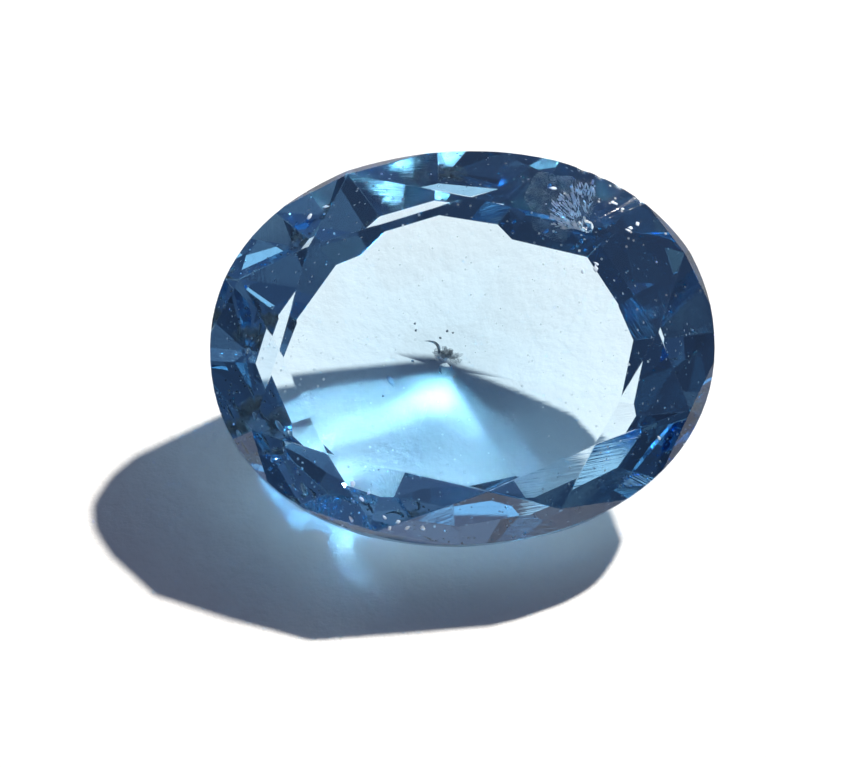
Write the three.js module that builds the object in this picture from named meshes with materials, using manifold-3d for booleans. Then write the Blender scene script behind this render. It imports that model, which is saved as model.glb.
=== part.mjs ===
// An oval topaz of about 9 by 7 mm, brilliant cut above and below, lying loose on one pavilion facet.
// It is worked as a lapidary works it: an oval blank is ground away by one flat facet after another.
// The floor is z = 0, +Z is up and the stone's long side runs along X. Sizes are in mm, angles in degrees.

import * as THREE from 'three';
import { mergeVertices } from 'three/addons/utils/BufferGeometryUtils.js';
import Module from 'manifold-3d';

const wasm = await Module();
wasm.setup();

// The stone as a whole. Heights are counted from the middle of the girdle.
const girdleLength = 9;
const girdleWidth = 7.08;
const ovalPower = 2.12; // 2 is an ellipse, a larger power has fuller shoulders
const girdleThickness = 0.2;
const crownHeight = 0.73;
const pavilionDepth = 3.31;
const culetX = -0.25; // the culet was ground a little off the middle
const culetY = -0.11;

// Eight sectors, from the right end of the oval and round anticlockwise. A reach is a share of the
// outline's own.
const sectors = 8;
const tableReach = 0.75; // of the table's corners
const starDrop = 0.5; // share of the way down from the table to the girdle
const mainReach = 0.7; // of a main's outer tip
const mainRise = 1.42; // from the culet up to that tip
const restingMain = 6; // the sector whose main lies on the floor
const restingSlope = 27.5; // that main was cut flatter, which gives the stone its lean

// The stone was cut by eye, so each tier strays a little from its even places.
const strayTurn = 4; // degrees round the oval
const strayReach = 0.025;
const strayDrop = 0.06;
const strayStep = 137.5; // degrees of phase from one sector to the next, which repeats nowhere in a round
const phases = { corners: 0, reaches: 50, stars: 100, tips: 150, mains: 200, lowers: 250 }; // where each starts
const leastRise = 0.15; // of a main's tip below the girdle

// What wear has broken off: scoops out of the culet, one of the table's corners and the girdle's upper edge.
const culetBreak = 0.19;
const cornerBreak = 0.17;
const brokenCorner = 1;
const nickAngles = [43.5, 50, 55.5, 60];
const nickSizes = [0.12, 0.09, 0.11, 0.14];
const breakDetail = 1; // how finely a scoop is faceted
const breakTurn = 20; // of a scoop's own facets
const breakDepth = 0.55; // share of a scoop's radius that goes into the stone

const outlineSteps = 96;
const tangentStep = 2; // either way round, for the oval's direction at a point
const blankMargin = 0.5;
const weldDistance = 1e-5;

const sectorAngle = 360 / sectors;
const halfGirdle = girdleThickness / 2;
const radians = THREE.MathUtils.degToRad;
const heart = new THREE.Vector3(0, 0, 0); // a point well inside the stone

// A point at an angle on the oval, drawn in or out to a share of its reach, at a height.
function onOval(angle, reach, height) {
  const cos = Math.cos(radians(angle));
  const sin = Math.sin(radians(angle));
  const x = (girdleLength / 2) * Math.sign(cos) * Math.abs(cos) ** (2 / ovalPower);
  const y = (girdleWidth / 2) * Math.sign(sin) * Math.abs(sin) ** (2 / ovalPower);
  return new THREE.Vector3(x * reach, y * reach, height);
}

// The level direction in which the oval runs at an angle.
function alongOval(angle) {
  return onOval(angle + tangentStep, 1, 0).sub(onOval(angle - tangentStep, 1, 0)).normalize();
}

// A facet's plane, turned so that the stone lies behind it.
function facetThrough(a, b, c) {
  const plane = new THREE.Plane().setFromCoplanarPoints(a, b, c);
  return plane.distanceToPoint(heart) > 0 ? plane.negate() : plane;
}

// A facet through two points whose level lines run as the oval does at an angle. When the second point is
// on the girdle there, the facet just touches it, and leaves the outline round.
function facetAlong(a, b, angle) {
  return facetThrough(a, b, b.clone().add(alongOval(angle)));
}

// The point that two facets share at a height.
function meetAt(first, second, height) {
  const rows = new THREE.Matrix3().set(
    first.normal.x, first.normal.y, first.normal.z,
    second.normal.x, second.normal.y, second.normal.z,
    0, 0, 1,
  );
  return new THREE.Vector3(-first.constant, -second.constant, height).applyMatrix3(rows.invert());
}

// The angle on the oval that a point lies at.
function angleOnOval(point) {
  return THREE.MathUtils.radToDeg(Math.atan2(point.y / girdleWidth, point.x / girdleLength));
}

// The angle halfway round from one angle to another, going anticlockwise.
function halfway(from, to) {
  return from + THREE.MathUtils.euclideanModulo(to - from, 360) / 2;
}

// How far a sector of a tier strays: a sine wave sampled at steps that never fall in with the sectors.
function stray(tier, k, most) {
  return most * Math.sin(radians(phases[tier] + k * strayStep));
}

// The table's corner in a sector, as its angle and its reach.
function cornerOf(k) {
  const angle = k * sectorAngle + stray('corners', k, strayTurn);
  return { angle, reach: tableReach + stray('reaches', k, strayReach) };
}

function nextSector(k) {
  return (k + 1) % sectors;
}

// The crown: a table, eight bezels round it, a star between each two of them, and sixteen upper facets.
function crownFacets() {
  const places = Array.from({ length: sectors }, (_, k) => cornerOf(k));
  const angles = places.map(({ angle }) => angle);
  const corners = places.map(({ angle, reach }) => onOval(angle, reach, crownHeight));
  const bezels = angles.map((angle, k) => facetAlong(corners[k], onOval(angle, 1, halfGirdle), angle));
  const facets = [new THREE.Plane(new THREE.Vector3(0, 0, 1), -crownHeight), ...bezels];
  for (let k = 0; k < sectors; k += 1) {
    const after = nextSector(k);
    const tipHeight = THREE.MathUtils.lerp(crownHeight, halfGirdle, starDrop + stray('stars', k, strayDrop));
    const tip = meetAt(bezels[k], bezels[after], tipHeight);
    const nearer = halfway(angles[k], angleOnOval(tip));
    const farther = halfway(angleOnOval(tip), angles[after]);
    facets.push(
      facetThrough(corners[k], corners[after], tip),
      facetAlong(tip, onOval(nearer, 1, halfGirdle), nearer),
      facetAlong(tip, onOval(farther, 1, halfGirdle), farther),
    );
  }
  return facets;
}

// A main facet faces down and outwards through the culet. Its slope follows from the rise to its outer
// tip, except for the one that the stone rests on.
function mainFacet(k) {
  const angle = k * sectorAngle;
  const tipReach = onOval(angle, mainReach, 0).length();
  const slope = k === restingMain ? radians(restingSlope) : Math.atan2(mainRise, tipReach);
  const facing = radians(angle + (k === restingMain ? 0 : stray('mains', k, strayTurn)));
  const level = new THREE.Vector3(Math.cos(facing), Math.sin(facing), 0);
  const normal = level.multiplyScalar(Math.sin(slope)).setZ(-Math.cos(slope));
  const culet = new THREE.Vector3(culetX, culetY, -pavilionDepth);
  return new THREE.Plane().setFromNormalAndCoplanarPoint(normal, culet);
}

// The outer tip of a main, on its own plane.
function tipOf(main, angle, reach) {
  const tip = onOval(angle, reach, 0);
  const { x, y, z } = main.normal;
  tip.z = Math.min(-(main.constant + x * tip.x + y * tip.y) / z, -halfGirdle - leastRise);
  return tip;
}

// The pavilion: eight shallow mains that meet about the culet, and sixteen steep lower facets above them.
function pavilionFacets() {
  const mains = Array.from({ length: sectors }, (_, k) => mainFacet(k));
  const angles = mains.map((main, k) => k * sectorAngle + stray('tips', k, strayTurn));
  const tips = mains.map((main, k) => tipOf(main, angles[k], mainReach + stray('mains', k, strayReach)));
  const facets = [...mains];
  for (let k = 0; k < sectors; k += 1) {
    const after = nextSector(k);
    const between = (k + 0.5) * sectorAngle + stray('lowers', k, strayTurn);
    const nearer = halfway(angles[k], between);
    const farther = halfway(between, angles[after]);
    facets.push(
      facetAlong(tips[k], onOval(nearer, 1, -halfGirdle), nearer),
      facetAlong(tips[after], onOval(farther, 1, -halfGirdle), farther),
    );
  }
  return { facets, mains };
}

// The oval blank: the girdle's outline, taller than the finished stone.
function ovalBlank() {
  const outline = [];
  for (let i = 0; i < outlineSteps; i += 1) {
    const point = onOval((i * 360) / outlineSteps, 1, 0);
    outline.push(new THREE.Vector2(point.x, point.y));
  }
  const height = crownHeight + pavilionDepth + 2 * blankMargin;
  const blank = new THREE.ExtrudeGeometry(new THREE.Shape(outline), { depth: height, bevelEnabled: false });
  return blank.translate(0, 0, -pavilionDepth - blankMargin);
}

function toSolid(geometry) {
  const bare = geometry.clone();
  bare.deleteAttribute('normal');
  bare.deleteAttribute('uv');
  const merged = mergeVertices(bare, weldDistance);
  return new wasm.Manifold(
    new wasm.Mesh({
      numProp: 3,
      vertProperties: new Float32Array(merged.attributes.position.array),
      triVerts: new Uint32Array(merged.index.array),
    }),
  );
}

function toGeometry(solid) {
  const { vertProperties, triVerts, numProp } = solid.getMesh();
  const positions = new Float32Array(triVerts.length * 3);
  triVerts.forEach((vertex, i) => {
    positions.set(vertProperties.subarray(vertex * numProp, vertex * numProp + 3), i * 3);
  });
  const geometry = new THREE.BufferGeometry();
  geometry.setAttribute('position', new THREE.BufferAttribute(positions, 3));
  geometry.computeVertexNormals();
  return geometry;
}

// Grinds a facet: what lies in front of its plane is taken away.
function grind(solid, facet) {
  const { x, y, z } = facet.normal;
  return solid.trimByPlane([-x, -y, -z], facet.constant);
}

// Breaks a scoop out of the solid at a point, with the ball's centre a little way outside.
function breakAway(solid, { point, outward, radius }) {
  const turn = radians(breakTurn);
  const ball = new THREE.IcosahedronGeometry(radius, breakDetail).rotateX(turn).rotateZ(turn);
  const middle = point.clone().addScaledVector(outward.clone().normalize(), radius * (1 - breakDepth));
  return solid.subtract(toSolid(ball.translate(middle.x, middle.y, middle.z)));
}

// Where the stone is broken, and how large each scoop is.
function breaks() {
  const nicks = nickAngles.map((angle, i) => {
    const point = onOval(angle, 1, halfGirdle);
    return { point, outward: point.clone().setZ(girdleLength / 2), radius: nickSizes[i] };
  });
  const { angle, reach } = cornerOf(brokenCorner);
  const corner = onOval(angle, reach, crownHeight);
  const culet = new THREE.Vector3(culetX, culetY, -pavilionDepth);
  return [
    ...nicks,
    { point: corner, outward: new THREE.Vector3(0, 0, 1), radius: cornerBreak },
    { point: culet, outward: new THREE.Vector3(0, 0, -1), radius: culetBreak },
  ];
}

const pavilion = pavilionFacets();
const cut = [...crownFacets(), ...pavilion.facets].reduce(grind, toSolid(ovalBlank()));
const worn = breaks().reduce(breakAway, cut);

const stone = new THREE.Mesh(
  toGeometry(worn),
  new THREE.MeshStandardMaterial({
    color: 0x4f9fd0,
    roughness: 0.03,
    metalness: 0,
    transparent: true,
    opacity: 0.45,
    flatShading: true,
  }),
);
stone.name = 'topaz_stone';

// The stone leans until its resting main lies flat, and stands over the middle of its own box.
const down = new THREE.Vector3(0, 0, -1);
stone.quaternion.setFromUnitVectors(pavilion.mains[restingMain].normal, down);
const box = new THREE.Box3().setFromObject(stone, true);
stone.position.set(-(box.min.x + box.max.x) / 2, -(box.min.y + box.max.y) / 2, -box.min.z);

const topaz = new THREE.Group();
topaz.add(stone);

export default topaz;
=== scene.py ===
import math

import bmesh
import bpy
import numpy as np
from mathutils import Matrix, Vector
from mathutils.bvhtree import BVHTree


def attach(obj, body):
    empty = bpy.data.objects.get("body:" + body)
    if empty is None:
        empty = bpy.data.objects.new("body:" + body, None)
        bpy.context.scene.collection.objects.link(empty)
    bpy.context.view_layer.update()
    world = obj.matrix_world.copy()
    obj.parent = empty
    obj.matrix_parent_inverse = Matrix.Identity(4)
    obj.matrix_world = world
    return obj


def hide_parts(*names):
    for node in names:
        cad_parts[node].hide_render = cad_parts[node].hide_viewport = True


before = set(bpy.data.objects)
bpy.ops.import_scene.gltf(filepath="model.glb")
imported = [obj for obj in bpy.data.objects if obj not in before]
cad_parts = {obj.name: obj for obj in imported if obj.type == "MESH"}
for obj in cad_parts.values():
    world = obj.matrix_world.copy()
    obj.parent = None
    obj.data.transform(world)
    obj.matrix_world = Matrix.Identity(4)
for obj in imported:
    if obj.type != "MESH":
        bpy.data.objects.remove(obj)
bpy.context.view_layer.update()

mm = 0.001


def linear(hexColour):  # sRGB hex to linear light
    c = np.array([int(hexColour[i : i + 2], 16) / 255 for i in (1, 3, 5)])
    return (*np.where(c <= 0.04045, c / 12.92, ((c + 0.055) / 1.055) ** 2.4), 1.0)


def addNode(tree, kind, settings=None, links=None, **options):
    # settings fills sockets by name or number, links joins them to earlier outputs
    node = tree.nodes.new("ShaderNode" + kind)
    for name, value in options.items():
        setattr(node, name, value)
    for name, value in (settings or {}).items():
        node.inputs[name].default_value = value
    for name, source in (links or {}).items():
        tree.links.new(source, node.inputs[name])
    return node


def unit(v):
    return v / np.linalg.norm(v, axis=-1, keepdims=True)


def newMaterial(name):
    material = bpy.data.materials.new(name)
    material.use_nodes = True
    material.node_tree.nodes.clear()
    return material, material.node_tree


# The stage: uncoated paper, a lamp the apparent size of a spotlight across the room, and dim walls.
stage = {
    "paperColour": "#f6f5f3",
    "paperShade": "#f1f1f1",
    "paperReach": 500 * mm,
    "paperGap": 0.02 * mm,  # keeps the sheet off the resting facet, where the two would fight
    "paperGrain": 0.35 * mm,
    "paperMottle": 11.11 * mm,  # from one paler patch to the next
    "paperRelief": 0.03 * mm,
    "roomColour": "#8e97b6",
    "roomStrength": 0.20,  # away from the window
    "windowStrength": 0.55,  # straight towards it
    "roomLow": 0.35,  # what is left of either at the floor, where furniture stands
    "roomOpen": 0.6,  # the sine of the height where nothing stands in the way
    "windowHeight": 37.0,
    "wallColour": "#e9edf1",  # what the camera alone sees beyond the paper
    "keyColour": "#fffaf2",
    "keyStrength": 5.0,
    "keyAngle": 2.4,  # how wide the lamp looks, in degrees
    "discAngle": 7.5,  # the same, as the stone's inside sees it
    "discColour": "#e4f8ff",  # where it is seen through the stone
    "spillColour": "#4789b4",  # in the patches that it throws beside the stone, and in the glints
    "spillSurfaces": 2,  # the spill has crossed at most this many surfaces
    "discGain": 1.12,
    "keyAzimuth": 39.0,  # behind the stone and to the right
    "keyHeight": 49.0,
}


def paperMaterial():
    # Uncoated wood-free paper: matt, with a faint felt of fibres that only raking light shows
    material, tree = newMaterial("matt_uncoated_paper")
    place = addNode(tree, "TexCoord").outputs["Object"]
    felt = addNode(tree, "TexNoise", {"Scale": 1 / stage["paperGrain"], "Detail": 5.0, "Roughness": 0.6},
                   {"Vector": place})
    uneven = addNode(tree, "TexNoise", {"Scale": 1 / stage["paperMottle"], "Detail": 2.0}, {"Vector": place})
    tone = addNode(tree, "MixRGB",
                   {"Color1": linear(stage["paperShade"]), "Color2": linear(stage["paperColour"])},
                   {"Fac": uneven.outputs["Fac"]})
    bump = addNode(tree, "Bump", {"Distance": stage["paperRelief"]}, {"Height": felt.outputs["Fac"]})
    shader = addNode(tree, "BsdfPrincipled", {"Roughness": 0.9},
                     {"Base Color": tone.outputs["Color"], "Normal": bump.outputs["Normal"]})
    addNode(tree, "OutputMaterial", links={"Surface": shader.outputs["BSDF"]})
    return material


def makeStage():
    print("stage: paper, lamp and room")
    reach = stage["paperReach"]
    mesh = bpy.data.meshes.new("paper")
    corners = [(-reach, -reach, 0), (reach, -reach, 0), (reach, reach, 0), (-reach, reach, 0)]
    mesh.from_pydata(corners, [], [(0, 1, 2, 3)])
    mesh.materials.append(paperMaterial())
    paper = bpy.data.objects.new("paper", mesh)
    paper.location.z = -stage["paperGap"]
    bpy.context.scene.collection.objects.link(paper)

    turn, lift = math.radians(stage["keyAzimuth"]), math.radians(stage["keyHeight"])
    toKey = Vector((math.cos(turn) * math.cos(lift), math.sin(turn) * math.cos(lift), math.sin(lift)))
    lamp = bpy.data.lights.new("key", "SUN")
    lamp.energy = stage["keyStrength"]
    lamp.color = linear(stage["keyColour"])[:3]
    lamp.angle = math.radians(stage["keyAngle"])
    lamp.cycles.use_multiple_importance_sampling = False  # what the stone bends comes from the world's disc
    key = bpy.data.objects.new("key", lamp)
    key.rotation_euler = toKey.to_track_quat("Z", "Y").to_euler()
    bpy.context.scene.collection.objects.link(key)
    bpy.context.scene.world = roomWorld(toKey)


def roomWorld(toKey):
    # A dim room, brighter towards a window behind the lamp and darker low down, and a pale wall that the
    # camera alone sees. The lamp appears in it as a wider disc, as bright in all, which only light paths that
    # pass through the stone reach: so the paper's shadow keeps its edge and the gathered light is smooth.
    # Past two surfaces, where the paper is seen through the stone, the disc is pale; before that, on the
    # paper beside the stone and in glints, it is bluer and dimmer.
    world = bpy.data.worlds.new("room")
    world.use_nodes = True
    tree = world.node_tree
    tree.nodes.clear()
    path = addNode(tree, "LightPath")
    way = addNode(tree, "TexCoord").outputs["Generated"]
    turn, lift = math.radians(stage["keyAzimuth"]), math.radians(stage["windowHeight"])
    window = (math.cos(turn) * math.cos(lift), math.sin(turn) * math.cos(lift), math.sin(lift))
    towards = addNode(tree, "VectorMath", {1: window}, {0: way}, operation="DOT_PRODUCT")
    bright = addNode(tree, "MapRange", {"To Min": stage["roomStrength"], "To Max": stage["windowStrength"]},
                     {"Value": towards.outputs["Value"]})
    height = addNode(tree, "SeparateXYZ", links={"Vector": way}).outputs["Z"]
    low = addNode(tree, "MapRange", {"From Max": stage["roomOpen"], "To Min": stage["roomLow"]},
                  {"Value": height})
    dim = addNode(tree, "Math", links={0: bright.outputs[0], 1: low.outputs[0]}, operation="MULTIPLY")
    room = addNode(tree, "Background", {"Color": linear(stage["roomColour"])}, {"Strength": dim.outputs[0]})

    radius = math.radians(stage["discAngle"] / 2)
    facing = addNode(tree, "VectorMath", {1: toKey}, {0: way}, operation="DOT_PRODUCT")
    inside = addNode(tree, "Math", {1: math.cos(radius)}, {0: facing.outputs["Value"]},
                     operation="GREATER_THAN")
    shown = addNode(tree, "Math", links={0: inside.outputs[0], 1: path.outputs["Is Transmission Ray"]},
                    operation="MULTIPLY")
    radiance = stage["discGain"] * stage["keyStrength"] / (math.pi * math.sin(radius) ** 2)
    strength = addNode(tree, "Math", {1: radiance}, {0: shown.outputs[0]}, operation="MULTIPLY")
    crossed = path.outputs["Transmission Depth"]
    through = addNode(tree, "Math", {1: stage["spillSurfaces"] + 0.5}, {0: crossed}, operation="GREATER_THAN")
    tones = {"Color1": linear(stage["spillColour"]), "Color2": linear(stage["discColour"])}
    tint = addNode(tree, "MixRGB", tones, {"Fac": through.outputs[0]}).outputs["Color"]
    disc = addNode(tree, "Background", links={"Color": tint, "Strength": strength.outputs[0]})
    lit = addNode(tree, "AddShader", links={0: room.outputs[0], 1: disc.outputs[0]})
    wall = addNode(tree, "Background", {"Color": linear(stage["wallColour"])})
    both = addNode(tree, "MixShader",
                   links={0: path.outputs["Is Camera Ray"], 1: lit.outputs[0], 2: wall.outputs[0]})
    addNode(tree, "OutputWorld", links={"Surface": both.outputs[0]})
    return world


# The camera: a long lens, from the front and well above.
camera = {
    "lens": 353.6,
    "distance": 150 * mm,
    "azimuth": -3.8,  # degrees, 0 looks along +Y
    "height": 54.3,
    "aim": (-0.65 * mm, -0.02 * mm, 1.95 * mm),
    "nearest": 1 * mm,
    "farthest": 2000 * mm,
}


def makeCamera():
    data = bpy.data.cameras.new("camera")
    data.lens = camera["lens"]
    data.clip_start, data.clip_end = camera["nearest"], camera["farthest"]
    a, e = math.radians(camera["azimuth"]), math.radians(camera["height"])
    back = Vector((math.sin(a) * math.cos(e), -math.cos(a) * math.cos(e), math.sin(e)))
    thing = bpy.data.objects.new("camera", data)
    thing.location = Vector(camera["aim"]) + back * camera["distance"]
    thing.rotation_euler = back.to_track_quat("Z", "Y").to_euler()
    bpy.context.scene.collection.objects.link(thing)
    bpy.context.scene.camera = thing


# The stone's surface. Each facet's finish goes to the material as an attribute of its corners:
# red is the roughness, green how deep the lap dragged it, blue how far it is broken.
stone = {
    "ior": 1.62,
    "depthColour": "#48cbf1",  # what a long way through the stone lets past
    "depthDensity": 150.0,
    "junctionWear": 0.012 * mm,
    "junctionRoughness": 0.16,
    "girdleRoughness": 0.1,
    "breakRoughness": 0.12,
    "junctionLeast": 0.4 * mm,  # shorter junctions and flatter ones stay sharp
    "junctionAngle": 4.0,
    "weldGap": 0.001 * mm,
    "flatAngle": 0.3,  # the solid's triangles within this are one facet
    "upright": 0.03,  # the girdle's normals rise less than this
    "smallestFacet": 0.03 * mm * mm,  # anything less is part of a break
    "smear": 0.006,  # a film of handling, as roughness
    "smearPatch": 1.111 * mm,  # from one smear to the next
    "lapLine": 0.085 * mm,  # from one polishing line to the next
    "lapStretch": 0.35,  # how fast a line changes along its run, by millimetre
    "lapDepth": 0.0035 * mm,
    "lapFaint": 0.01,  # how strongly the lines show on a well finished facet
    "lapUneven": (0.4, 2.0),  # times that, from one facet to another
    "lapWander": 15.0,  # degrees off level
    "dragged": ((-0.15, 1.0, -0.1), (0.35, 0.15, -0.95), (0.75, 0.45, -0.5)),  # badly finished facets face so
    "draggedAlong": ((1.0, 0.1, -0.3), (1.0, -0.17, 0.3), (0.5, -0.9, -0.1)),  # their lines run so
    "draggedWithin": 8.0,
    "pitSpacing": 0.22 * mm,
    "pitWidth": 0.13,  # of the spacing
    "pitRoughness": 0.5,
    "breakRipple": 0.05 * mm,
    "breakDepth": 0.004 * mm,
    "seed": 7,
}


def topazMaterial():
    # Blue topaz, lapped and polished: clear, and blue only by its depth. Faint lap lines streak what is
    # seen through a badly finished facet, worn junctions and the girdle are duller, breaks are rippled.
    material, tree = newMaterial("polished_blue_topaz")
    finish = addNode(tree, "VertexColor", layer_name="finish")
    parts = addNode(tree, "SeparateColor", links={"Color": finish.outputs["Color"]})
    rough, drag, broken = parts.outputs[0], parts.outputs[1], parts.outputs[2]

    lap = addNode(tree, "UVMap", uv_map="lap")
    stretch = addNode(tree, "Mapping", {"Scale": (mm / stone["lapLine"], stone["lapStretch"], 1.0)},
                      {"Vector": lap.outputs["UV"]})
    lines = addNode(tree, "TexNoise", {"Scale": 1.0, "Detail": 3.0, "Roughness": 0.65},
                    {"Vector": stretch.outputs["Vector"]})
    dragged = addNode(tree, "Math", links={0: lines.outputs["Fac"], 1: drag}, operation="MULTIPLY")
    lapBump = addNode(tree, "Bump", {"Distance": stone["lapDepth"]}, {"Height": dragged.outputs[0]})

    place = addNode(tree, "TexCoord").outputs["Object"]
    ripple = addNode(tree, "TexNoise", {"Scale": 1 / stone["breakRipple"], "Detail": 2.0, "Distortion": 1.2},
                     {"Vector": place})
    rippled = addNode(tree, "Math", links={0: ripple.outputs["Fac"], 1: broken}, operation="MULTIPLY")
    breakBump = addNode(tree, "Bump", {"Distance": stone["breakDepth"]},
                        {"Height": rippled.outputs[0], "Normal": lapBump.outputs["Normal"]})

    cell = addNode(tree, "TexVoronoi", {"Scale": 1 / stone["pitSpacing"], "Randomness": 1.0},
                   {"Vector": place})
    pit = addNode(tree, "MapRange", {"From Min": stone["pitWidth"], "From Max": 0.6 * stone["pitWidth"],
                                     "To Min": 0.0, "To Max": stone["pitRoughness"]},
                  {"Value": cell.outputs["Distance"]})

    film = addNode(tree, "TexNoise", {"Scale": 1 / stone["smearPatch"], "Detail": 3.0}, {"Vector": place})
    filmOnly = addNode(tree, "MapRange",
                       {"From Min": 0.5, "From Max": 0.75, "To Min": 0.0, "To Max": stone["smear"]},
                       {"Value": film.outputs["Fac"]})
    filmed = addNode(tree, "Math", links={0: rough, 1: filmOnly.outputs[0]}, operation="ADD")
    roughness = addNode(tree, "Math", links={0: filmed.outputs[0], 1: pit.outputs[0]}, operation="MAXIMUM")

    shader = addNode(tree, "BsdfPrincipled", {
        "Base Color": linear("#ffffff"), "IOR": stone["ior"], "Transmission Weight": 1.0,
    }, {"Roughness": roughness.outputs[0], "Normal": breakBump.outputs["Normal"]})
    depth = addNode(tree, "VolumeAbsorption",
                    {"Color": linear(stone["depthColour"]), "Density": stone["depthDensity"]})
    addNode(tree, "OutputMaterial",
            links={"Surface": shader.outputs["BSDF"], "Volume": depth.outputs["Volume"]})
    return material


def wearJunctions(work):
    # Rounds the junctions of the large facets a little; the new strips get material number 1 as a mark
    large = {face for face in work.faces if face.calc_area() > stone["smallestFacet"]}
    crowded = {v for edge in work.edges if edge.calc_length() < 4 * stone["junctionWear"] for v in edge.verts}
    junctions = [
        edge for edge in work.edges
        if set(edge.link_faces) <= large and edge.calc_face_angle(0) > math.radians(stone["junctionAngle"])
        and not crowded.intersection(edge.verts) and edge.calc_length() > stone["junctionLeast"]
    ]
    bmesh.ops.bevel(work, geom=junctions, offset=stone["junctionWear"], offset_type="OFFSET", segments=2,
                    profile=0.5, affect="EDGES", clamp_overlap=True, material=1)
    print("worn junctions:", len(junctions))


def finishFacets(mesh):
    # Writes the finish and the lap map. Each facet is lapped nearly level with the girdle, so
    # u counts millimetres across the lines and v millimetres along them.
    faces = len(mesh.polygons)
    normal = np.empty(faces * 3)
    mesh.polygons.foreach_get("normal", normal)
    normal = normal.reshape(-1, 3)
    area = np.empty(faces)
    mesh.polygons.foreach_get("area", area)
    mark = np.empty(faces, dtype=int)
    mesh.polygons.foreach_get("material_index", mark)
    size = np.empty(faces, dtype=int)
    mesh.polygons.foreach_get("loop_total", size)

    tableUp = normal[np.argmax(area)]
    girdle = np.abs(normal @ tableUp) < stone["upright"]
    broken = (area < stone["smallestFacet"]) & ~girdle & (mark == 0)
    worn = mark == 1
    rough = np.select([worn, girdle, broken],
                      [stone["junctionRoughness"], stone["girdleRoughness"], stone["breakRoughness"]], 0.0)
    chance = np.random.default_rng(stone["seed"])
    likeness = normal @ unit(np.array(stone["dragged"])).T
    bad = likeness.max(1) > math.cos(math.radians(stone["draggedWithin"]))
    drag = np.where(bad, 1.0, stone["lapFaint"] * chance.uniform(*stone["lapUneven"], faces))
    drag[worn | girdle | broken] = 0.0

    # The table is level all ways, so the small second term picks one of them for it
    level = unit(np.cross(tableUp, normal) + 1e-4 * np.cross(normal, (0.3, 0.5, 0.8)))
    wander = np.radians(chance.uniform(-1, 1, (faces, 1)) * stone["lapWander"])
    along = level * np.cos(wander) + np.cross(normal, level) * np.sin(wander)
    along = np.where(bad[:, None], np.array(stone["draggedAlong"])[likeness.argmax(1)], along)
    across = unit(np.cross(normal, along))
    along = np.cross(across, normal)

    face = np.repeat(np.arange(faces), size)
    corner = np.empty(len(mesh.loops), dtype=int)
    mesh.loops.foreach_get("vertex_index", corner)
    points = np.empty(len(mesh.vertices) * 3)
    mesh.vertices.foreach_get("co", points)
    points = points.reshape(-1, 3)[corner] / mm
    lap = np.stack([(points * across[face]).sum(1), (points * along[face]).sum(1)], 1)
    mesh.uv_layers.new(name="lap").data.foreach_set("uv", lap.ravel())

    colour = np.stack([rough, drag, broken, np.ones(faces)], 1)[face]
    mesh.color_attributes.new("finish", "FLOAT_COLOR", "CORNER").data.foreach_set("color", colour.ravel())
    mesh.polygons.foreach_set("material_index", np.zeros(faces, dtype=int))


def makeStone():
    print("stone: facets, worn junctions and breaks")
    work = bmesh.new()
    work.from_mesh(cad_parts["topaz_stone"].data)
    bmesh.ops.remove_doubles(work, verts=work.verts, dist=stone["weldGap"])
    bmesh.ops.dissolve_limit(work, angle_limit=math.radians(stone["flatAngle"]), verts=work.verts,
                             edges=work.edges)
    wearJunctions(work)
    mesh = bpy.data.meshes.new("topaz_gem")
    work.to_mesh(mesh)
    work.free()
    mesh.materials.append(topazMaterial())
    finishFacets(mesh)
    mesh.polygons.foreach_set("use_smooth", np.zeros(len(mesh.polygons), dtype=bool))
    gem = bpy.data.objects.new("topaz_gem", mesh)
    bpy.context.scene.collection.objects.link(gem)
    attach(gem, "root")
    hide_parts("topaz_stone")
    print("faces:", len(mesh.polygons))
    return mesh


class Layout:
    # Where things are on the finished stone. Places on the crown are given as millimetres to the right and to
    # the back of the girdle's middle, seen square to the table.
    def __init__(self, mesh):
        table = max(mesh.polygons, key=lambda face: face.area)
        points = np.array([v.co for v in mesh.vertices])
        self.up = np.array(table.normal)
        self.right = unit(np.array([1.0, 0.0, 0.0]) - self.up[0] * self.up)
        self.back = np.cross(self.up, self.right)
        self.axes = np.stack([self.right, self.back, self.up])
        measured = points @ self.axes.T
        middle = (measured.min(0) + measured.max(0)) / 2
        self.middle = (middle * (1, 1, 0)) @ self.axes + measured[:, 2].max() * self.up
        self.culet = points[np.argmin(measured[:, 2])]
        self.half = ((measured.max(0) - measured.min(0)) / 2)[:2] / mm  # the oval's, in mm
        faces = [face.vertices for face in mesh.polygons]
        self.skin = BVHTree.FromPolygons([v.co for v in mesh.vertices], faces)

    def direction(self, degrees):  # level with the table, anticlockwise from the stone's right end
        angle = np.radians(degrees)[..., None]
        return np.cos(angle) * self.right + np.sin(angle) * self.back

    def onCrown(self, places):  # the crown's points over these places, and the facets' normals there
        start = self.middle + np.asarray(places) * mm @ self.axes[:2] + 5 * mm * self.up
        hits = [self.skin.ray_cast(Vector(p), Vector(-self.up)) for p in start]
        return np.array([hit[0] for hit in hits]), np.array([hit[1] for hit in hits])

    def underSkin(self, points, depth):  # the same points moved to a depth under the nearest skin
        hits = [self.skin.find_nearest(Vector(p)) for p in points]
        return np.array([hit[0] for hit in hits]) - np.array([hit[1] for hit in hits]) * depth


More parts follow.
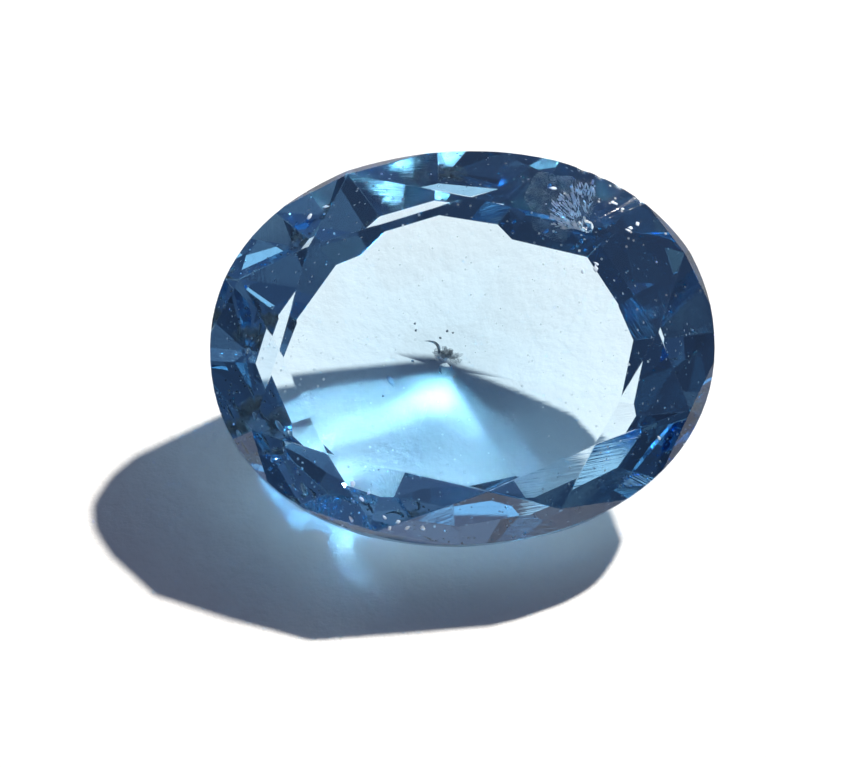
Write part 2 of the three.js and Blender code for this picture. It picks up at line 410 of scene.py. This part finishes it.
def ballGrid(rows, columns):
    # A unit ball: rings of points at even steps of the angle from the top, and one point at each pole
    polar = np.pi * np.arange(1, rows + 1) / (rows + 1)
    turn = 2 * np.pi * np.arange(columns) / columns
    ring = np.stack([np.sin(polar)[:, None] * np.cos(turn), np.sin(polar)[:, None] * np.sin(turn),
                     np.cos(polar)[:, None] + 0 * turn], -1).reshape(-1, 3)
    points = np.concatenate([ring, [[0, 0, 1.0], [0, 0, -1.0]]])
    i, j = np.meshgrid(np.arange(rows - 1), np.arange(columns), indexing="ij")
    here, after = i * columns + j, i * columns + (j + 1) % columns
    quads = np.stack([here, here + columns, after + columns, after], -1)
    k = np.arange(columns)
    top = np.stack([k, (k + 1) % columns, np.full(columns, rows * columns)], 1)
    last = (rows - 1) * columns
    bottom = np.stack([last + (k + 1) % columns, last + k, np.full(columns, rows * columns + 1)], 1)
    return points, quads.reshape(-1, 4).tolist() + top.tolist() + bottom.tolist()


def addPiece(name, points, faces, material, smooth=True):
    mesh = bpy.data.meshes.new(name)
    mesh.from_pydata(points.reshape(-1, 3).tolist(), [], faces)
    mesh.materials.append(material)
    mesh.polygons.foreach_set("use_smooth", np.full(len(mesh.polygons), smooth))
    piece = bpy.data.objects.new(name, mesh)
    bpy.context.scene.collection.objects.link(piece)
    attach(piece, "root")
    print(name, "faces:", len(mesh.polygons))
    return piece


def scatter(name, centres, axes, sizes, lumps, material):
    # Many small closed grains. Each is a unit ball that swells and sinks by a wave across it times a wave
    # the other way, drawn out to its three half sizes along its three axes, and set down at its centre.
    points, faces = ballGrid(5, 8)
    phase = np.arange(len(centres))[:, None]
    swell = 1 + lumps * np.sin(3 * points[:, 0] + phase) * np.cos(4 * points[:, 1] + 1.7 * phase)
    local = points[None] * swell[..., None] * sizes[:, None]
    placed = centres[:, None] + np.einsum("nvk,nkd->nvd", local, axes)
    count = len(points)
    every = [[v + count * n for v in face] for n in range(len(centres)) for face in faces]
    return addPiece(name, placed, every, material)


mottle = {"from": 0.35, "to": 0.65, "bump": 0.003 * mm}  # the noise mostly keeps between these two


def grainMaterial(name, light, dark, roughness, patches, cover=(1.0, 1.0)):
    # Something in or on the stone, mottled between two tones in so many patches to the millimetre. Cover is
    # its least and greatest opacity.
    material, tree = newMaterial(name)
    place = addNode(tree, "TexCoord").outputs["Object"]
    patch = addNode(tree, "TexNoise", {"Scale": patches / mm, "Detail": 4.0, "Roughness": 0.6},
                    {"Vector": place})
    tone = addNode(tree, "MapRange", {"From Min": mottle["from"], "From Max": mottle["to"]},
                   {"Value": patch.outputs["Fac"]})
    colour = addNode(tree, "MixRGB", {"Color1": linear(dark), "Color2": linear(light)},
                     {"Fac": tone.outputs[0]})
    bump = addNode(tree, "Bump", {"Distance": mottle["bump"]}, {"Height": patch.outputs["Fac"]})
    shader = addNode(tree, "BsdfPrincipled", {"Roughness": roughness},
                     {"Base Color": colour.outputs["Color"], "Normal": bump.outputs["Normal"]})
    surface = shader.outputs["BSDF"]
    if cover[0] < 1:
        opaque = addNode(tree, "MapRange", {"To Min": cover[0], "To Max": cover[1]},
                         {"Value": tone.outputs[0]})
        clear = addNode(tree, "BsdfTransparent")
        mixed = addNode(tree, "MixShader", links={0: opaque.outputs[0], 1: clear.outputs[0], 2: surface})
        surface = mixed.outputs[0]
    addNode(tree, "OutputMaterial", links={"Surface": surface})
    return material


# The feather: a fan of small open cracks from the table's broken corner, and a faint cloud of healed ones
feather = {
    "corner": (2.25, 1.9),
    "count": 170,
    "from": 70.0,  # the fan's two edges, in degrees
    "to": 172.0,
    "reach": (1.0, 0.55),  # mm, at the first edge and at the second
    "crowding": 1.3,  # more than 1 sets more of them near the first edge
    "splay": 20.0,  # degrees either way off straight outwards
    "lean": (5.0, 50.0),  # degrees off the facet
    "shallowest": 0.012 * mm,
    "deepest": 0.05 * mm,
    "long": (0.025 * mm, 0.095 * mm),  # half sizes
    "wide": (0.009 * mm, 0.028 * mm),
    "thick": 0.004 * mm,
    "lumps": 0.25,
    "look": {"light": "#ffffff", "dark": "#cdd4d8", "roughness": 0.35, "patches": 16.0},
    "cloudMiddle": (1.85, 2.4),
    "cloudReach": 0.62,  # mm
    "cloudDepth": 0.06 * mm,
    "cloudLook": {
        "light": "#8fb0c4", "dark": "#6f93ab", "roughness": 0.6, "patches": 5.2, "cover": (0.02, 0.13),
    },
    "seed": 3,
}


def makeFeather(layout):
    # Each crack is a flat grain somewhere in the fan. It runs outwards, leans off its facet, and lies deep
    # enough to stay under it: by its half width times the sine of its lean, and a little more.
    chance = np.random.default_rng(feather["seed"])
    count = feather["count"]
    part = chance.uniform(0, 1, count) ** feather["crowding"]
    angle = feather["from"] + (feather["to"] - feather["from"]) * part
    reach = feather["reach"][0] + (feather["reach"][1] - feather["reach"][0]) * part
    out = np.sqrt(chance.uniform(0.01, 1, count)) * reach
    turn = np.radians(angle)
    places = np.array(feather["corner"]) + np.stack([np.cos(turn), np.sin(turn)], 1) * out[:, None]
    surface, normal = layout.onCrown(places)
    along = layout.direction(angle + chance.uniform(-feather["splay"], feather["splay"], count))
    lean = np.radians(chance.uniform(*feather["lean"], (count, 1)))
    sizes = np.stack([chance.uniform(*feather["long"], count), chance.uniform(*feather["wide"], count),
                      np.full(count, feather["thick"])], 1)
    along = unit(along - (along * normal).sum(1, keepdims=True) * normal)
    flat = normal * np.cos(lean) + np.cross(along, normal) * np.sin(lean)
    axes = np.stack([along, np.cross(flat, along), flat], 1)
    deep = 1.2 * sizes[:, 1:2] * np.sin(lean) + feather["shallowest"]
    deep += chance.uniform(0, 1, (count, 1)) ** 2 * feather["deepest"]
    crack = grainMaterial("air_filled_fracture", **feather["look"])  # the air in it throws white light back
    scatter("fracture_feather", surface - normal * deep, axes, sizes, feather["lumps"], crack)
    makeCloud(layout)


def makeCloud(layout):
    # A sheet like a flat pillow under the crown. Seen from above it is a circle with waves of three and seven
    # to the round; it keeps one depth under the facets, and its thickness follows the ball it is made from.
    points, faces = ballGrid(40, 64)
    turn = np.arctan2(points[:, 1], points[:, 0])
    waves = 1 + 0.10 * np.sin(3 * turn + 1) + 0.06 * np.sin(7 * turn)
    places = feather["cloudMiddle"] + points[:, :2] * waves[:, None] * feather["cloudReach"]
    surface, _ = layout.onCrown(places)
    deep = feather["cloudDepth"] - points[:, 2:] * feather["thick"]
    healed = grainMaterial("healed_fracture_cloud", **feather["cloudLook"])  # a veil, dulls what it covers
    addPiece("fracture_cloud", surface - layout.up * deep, faces, healed)


# White bruises, most of them beyond the broken corner and along the front of the girdle. Each group has its
# angle round the oval, its share of the oval's reach, how many there are and how many degrees they spread.
bruises = {
    "groups": (
        (32, 0.62, 3, 6), (50, 0.9, 7, 26), (128, 0.9, 2, 12),
        (236, 0.85, 3, 10), (250, 0.95, 6, 22), (325, 0.93, 1, 0),
    ),
    "inward": 0.04,  # how far a group strays in and out, as a share of the oval's reach
    "outmost": 0.98,  # none comes nearer to the girdle's edge
    "long": (0.03, 0.07),  # half lengths in mm
    "slender": (0.4, 0.8),  # half width by half length
    "height": 0.4,  # of the half width
    "tallest": 0.03 * mm,
    "lumps": 0.3,
    "look": {"light": "#eaf5ff", "dark": "#c2daf2", "roughness": 0.5, "patches": 24.0},
    "seed": 5,
}


def makeBruises(layout):
    # Each bruise is a low mound, longer than wide, turned at random and half sunk in its facet
    chance = np.random.default_rng(bruises["seed"])
    angle, reach, many, wide = np.array(bruises["groups"], dtype=float).T
    angle, reach, wide = (np.repeat(v, many.astype(int)) for v in (angle, reach, wide))
    count = len(angle)
    turn = np.radians(angle + chance.uniform(-0.5, 0.5, count) * wide)
    reach = np.minimum(reach + chance.uniform(-1, 1, count) * bruises["inward"], bruises["outmost"])
    places = np.stack([np.cos(turn), np.sin(turn)], 1) * reach[:, None] * layout.half
    surface, normal = layout.onCrown(places)
    along = layout.direction(chance.uniform(0, 180, count))
    along = unit(along - (along * normal).sum(1, keepdims=True) * normal)
    axes = np.stack([along, np.cross(normal, along), normal], 1)
    long = chance.uniform(*bruises["long"], (count, 1)) * mm
    width = long * chance.uniform(*bruises["slender"], (count, 1))
    height = np.minimum(bruises["height"] * width, bruises["tallest"])
    white = grainMaterial("crushed_white_topaz", **bruises["look"])  # a powder, matt and nearly white
    scatter("white_bruises", surface, axes, np.concatenate([long, width, height], 1), bruises["lumps"], white)


# What lies at and near the culet: a bruise, a curled dark thread, a pale needle and specks.
# Places are from the culet, along the frame's axes, in mm.
culetMarks = {
    "bruiseMiddle": (0.13, 0.10, 0.24),
    "bruiseSpread": (0.12, 0.06, 0.08),
    "bruiseDepth": 0.07 * mm,
    "bruiseTrim": 1.8,  # no grain strays further than this many spreads
    "grains": 40,
    "grainSize": (0.03 * mm, 0.11 * mm),  # half sizes, as are the needle's and the specks'
    "grainShape": (1, 0.9, 0.4),
    "lumps": 0.3,
    "bruiseLook": {
        "light": "#a9abae", "dark": "#7c7f84", "roughness": 0.6, "patches": 5.0, "cover": (0.08, 0.28),
    },
    "darkLook": {
        "light": "#98a2aa", "dark": "#66707a", "roughness": 0.5, "patches": 20.0, "cover": (0.45, 0.85),
    },
    "thread": ((-0.25, 0.2, 0.6), (0.05, 0.2, 0.6), (0.0, 0.05, 0.35)),  # its start, its pull and its end
    "threadThick": 0.04 * mm,
    "needle": (-0.9, -0.5, 0.4),
    "needleAlong": (0.5, -0.5, -0.7),
    "needleSize": (0.14 * mm, 0.05 * mm, 0.045 * mm),
    "needleLumps": 0.12,
    "needleLook": {"light": "#fbfdfd", "dark": "#d5dde0", "roughness": 0.4, "patches": 15.0},
    "specks": 7,
    "speckReach": (1.0, 0.9, 0.15),  # mm either way
    "speckRise": 0.45,  # mm over the culet
    "speckDepth": 0.12 * mm,
    "speckSize": (0.0144 * mm, 0.0264 * mm),
    "seed": 11,
}


def turned(chance, count):  # random right-handed axes, one set for each grain
    first = unit(chance.normal(size=(count, 3)))
    second = unit(np.cross(first, chance.normal(size=(count, 3))))
    return np.stack([first, second, np.cross(first, second)], 1)


def makeCuletMarks(layout):
    # The bruise's grains and the specks are strewn at random, then each is moved to its depth under the skin
    chance = np.random.default_rng(culetMarks["seed"])
    dark = grainMaterial("dark_mineral_inclusion", **culetMarks["darkLook"])  # a grown-in mineral, half clear

    count, trim = culetMarks["grains"], culetMarks["bruiseTrim"]
    middle = layout.culet + np.array(culetMarks["bruiseMiddle"]) * mm
    wander = chance.normal(size=(count, 3)).clip(-trim, trim) * culetMarks["bruiseSpread"] * mm
    grains = chance.uniform(*culetMarks["grainSize"], (count, 3)) * culetMarks["grainShape"]
    crushed = grainMaterial("crushed_topaz", **culetMarks["bruiseLook"])  # grey, since most light gets by
    places = layout.underSkin(middle + wander, culetMarks["bruiseDepth"])
    scatter("culet_bruise", places, turned(chance, count), grains, culetMarks["lumps"], crushed)

    reach = chance.uniform(-1, 1, (culetMarks["specks"], 3)) * culetMarks["speckReach"]
    specks = layout.culet + (reach + (0, 0, culetMarks["speckRise"])) * mm
    specks = layout.underSkin(specks, culetMarks["speckDepth"])
    sizes = chance.uniform(*culetMarks["speckSize"], (len(specks), 3))
    scatter("mineral_specks", specks, turned(chance, len(specks)), sizes, culetMarks["lumps"], dark)

    along = unit(np.array(culetMarks["needleAlong"]))
    side = unit(np.cross(along, layout.up))
    white = grainMaterial("white_mineral_needle", **culetMarks["needleLook"])  # smoother than a bruise
    axes = np.stack([along, side, np.cross(along, side)])[None]
    scatter("white_needle", layout.culet + np.array([culetMarks["needle"]]) * mm, axes,
            np.array([culetMarks["needleSize"]]), culetMarks["needleLumps"], white)
    makeThread(layout, dark)


def makeThread(layout, material):
    # A hook: a parabola's arc from its start to its end that leans to its pull. It is a tube round that arc,
    # thicker towards its end and drawn to a point at both: the unit ball's rings become the tube's rings.
    points, faces = ballGrid(30, 8)
    t = (np.arccos(np.clip(points[:, 2], -1, 1)) / np.pi)[:, None]
    start, pull, end = np.array(culetMarks["thread"]) * mm
    line = (1 - t) ** 2 * start + 2 * t * (1 - t) * pull + t**2 * end
    tangent = unit((1 - t) * (pull - start) + t * (end - pull))
    side = unit(np.cross(tangent, layout.up))
    thick = culetMarks["threadThick"] * np.sin(np.pi * t) ** 0.5 * (0.35 + 0.65 * t)
    ring = unit(points[:, :2] + (1e-9, 0))
    tube = (ring[:, :1] * side + ring[:, 1:] * np.cross(side, tangent)) * thick
    addPiece("dark_thread", layout.culet + line + tube, faces, material)


def renderChoices():
    # A cut stone sends light round inside many times, and its bright caustic needs paths left unclamped
    scene = bpy.context.scene
    scene.view_settings.view_transform = "Standard"
    scene.cycles.max_bounces = 32
    scene.cycles.glossy_bounces = 16
    scene.cycles.transmission_bounces = 24
    scene.cycles.transparent_max_bounces = 64  # the culet's bruise is many thin grains one behind another
    scene.cycles.sample_clamp_indirect = 0
    scene.cycles.blur_glossy = 0.1


makeStage()
makeCamera()
layout = Layout(makeStone())
makeFeather(layout)
makeBruises(layout)
makeCuletMarks(layout)
renderChoices()
